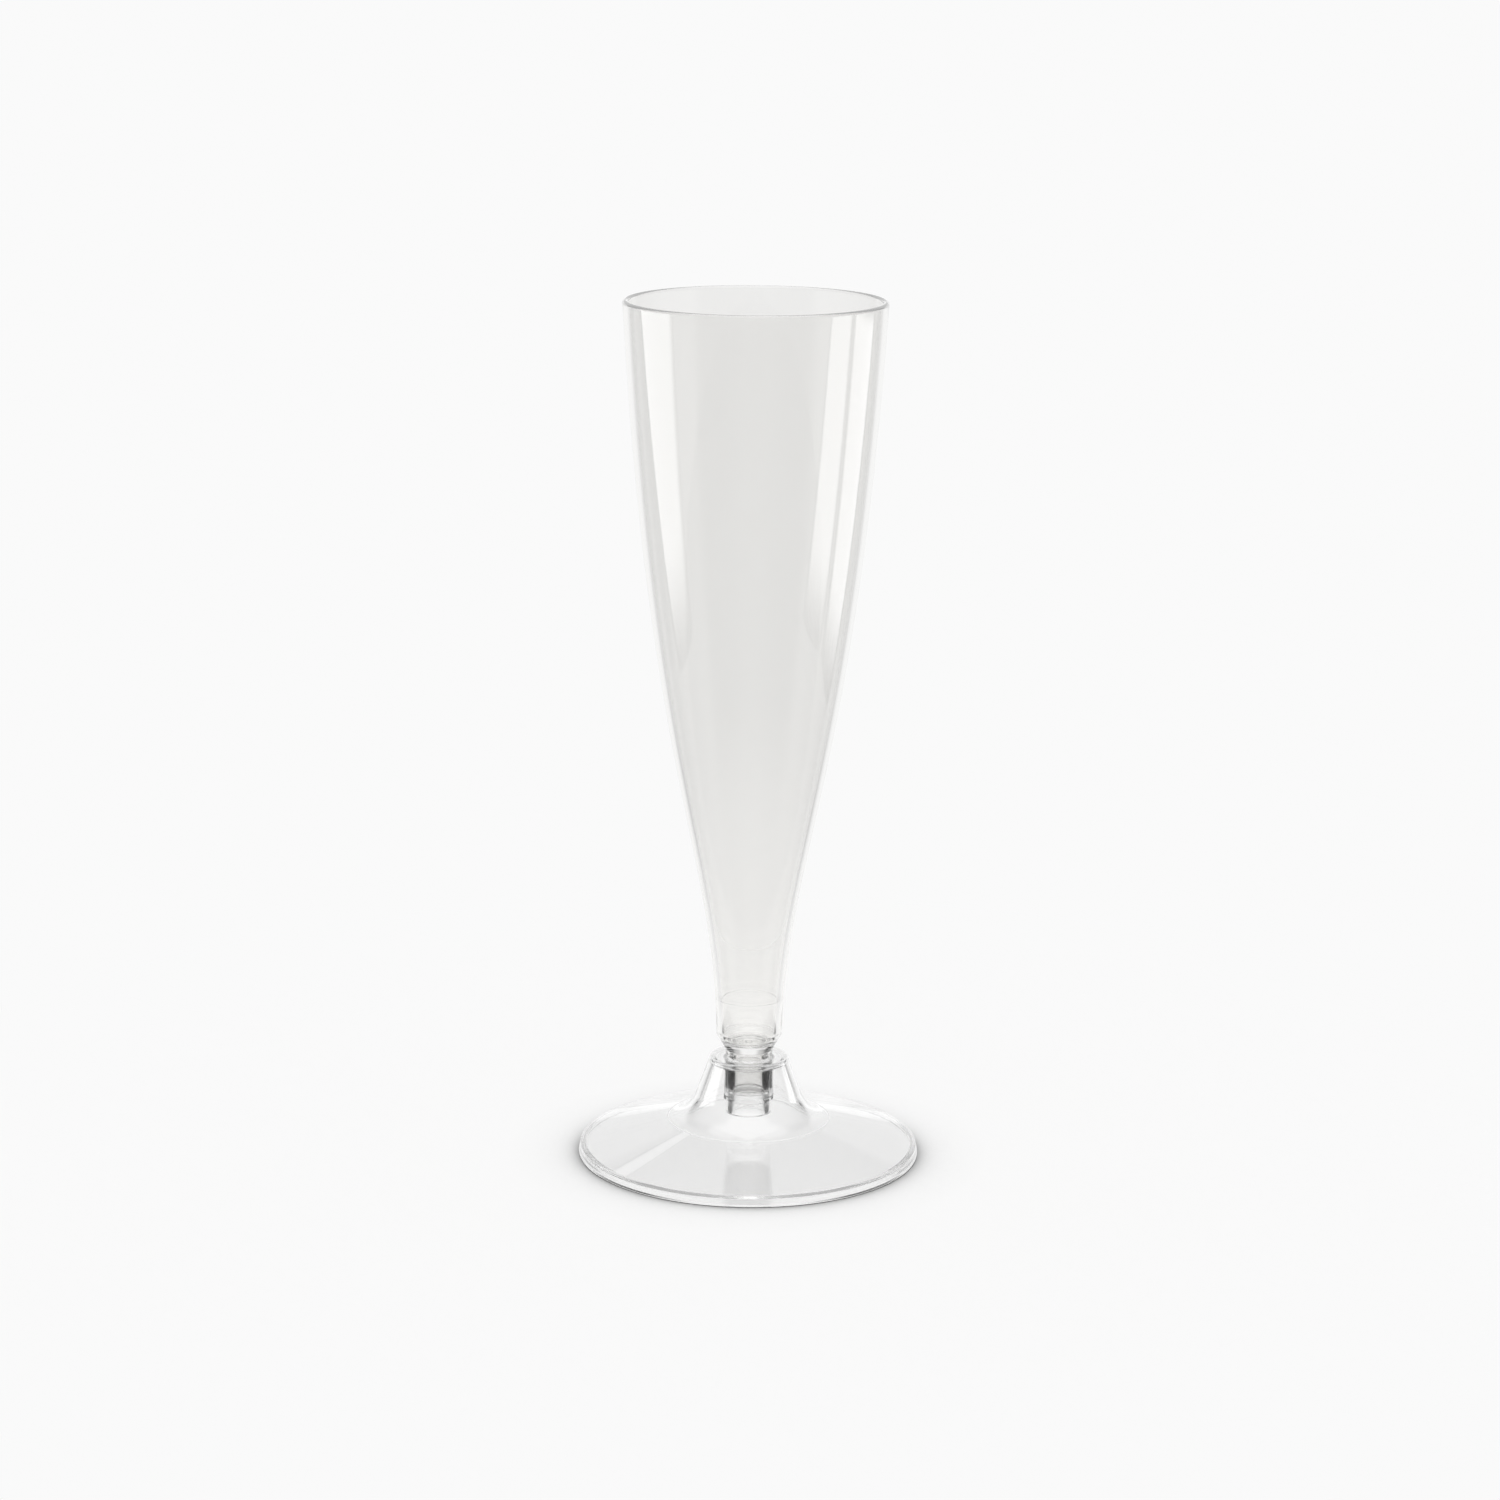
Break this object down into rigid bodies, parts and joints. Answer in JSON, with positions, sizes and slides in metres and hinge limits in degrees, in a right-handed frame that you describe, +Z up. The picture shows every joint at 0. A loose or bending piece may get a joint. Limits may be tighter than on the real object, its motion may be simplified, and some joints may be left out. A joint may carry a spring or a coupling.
{
  "type": "champagne glass",
  "caption": "Slim clear plastic champagne flute whose hollow plug pushes down into the socket of a wide sloping foot.",
  "frame": {"origin": "on the upright axis, on the surface that the foot stands on", "axes": "+Z up along the axis from the foot to the rim; X and Y are alike, because the glass is round"},
  "size_m": [0.0676, 0.0676, 0.17],
  "materials": {
    "bowl_plastic": "clear polished polystyrene with a faint warm tint",
    "foot_plastic": "clear polished polystyrene"
  },
  "bodies": {
    "foot": {"push_on_foot": "foot_plastic"},
    "bowl": {"flute_bowl": "bowl_plastic"}
  },
  "joints": [
    {"name": "bowl_pull_off", "type": "slide", "parent": "foot", "child": "bowl", "axis": [0, 0, 1], "range_m": [0, 0.03]}
  ]
}
